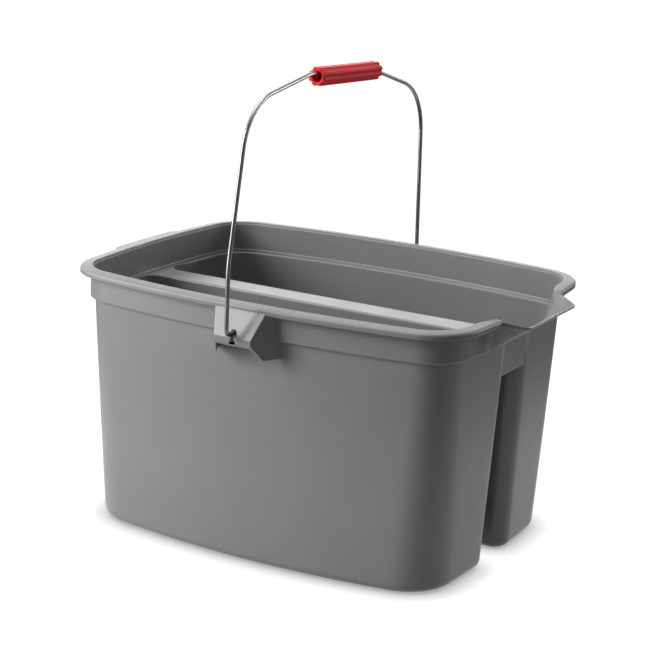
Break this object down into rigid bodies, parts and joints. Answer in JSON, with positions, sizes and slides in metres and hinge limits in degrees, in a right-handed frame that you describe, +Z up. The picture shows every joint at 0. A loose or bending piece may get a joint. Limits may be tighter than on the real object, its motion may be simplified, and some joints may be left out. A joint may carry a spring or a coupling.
{
  "type": "divided double bucket",
  "caption": "Divided double bucket moulded in one piece, with a pouring spout at one end, a swinging wire bail hooked into moulded ears and a loose ribbed grip.",
  "frame": {"origin": "middle of the bucket's length and width, on the floor that it stands on", "axes": "+X along the length towards the pouring spout, +Y across the two wells towards the back well, +Z up"},
  "size_m": [0.4556, 0.3747, 0.4547],
  "materials": {
    "grey_plastic": "smooth satin moulded polyethylene",
    "plated_wire": "bright plated drawn wire",
    "red_plastic": "glossy moulded plastic"
  },
  "bodies": {
    "bucket": {"bucket": "grey_plastic"},
    "bail": {"bail_wire": "plated_wire"},
    "grip": {"grip": "red_plastic"}
  },
  "joints": [
    {"name": "bail_swing", "type": "hinge", "parent": "bucket", "child": "bail", "pos_m": [-0.0051, 0, 0.2294], "axis": [0, 1, 0], "range_deg": [-80.5, 80.5]},
    {"name": "grip_spin", "type": "hinge", "parent": "bail", "child": "grip", "pos_m": [-0.0051, 0.01178, 0.44374], "axis": [0, 0.9992, -0.0406], "continuous": true}
  ]
}
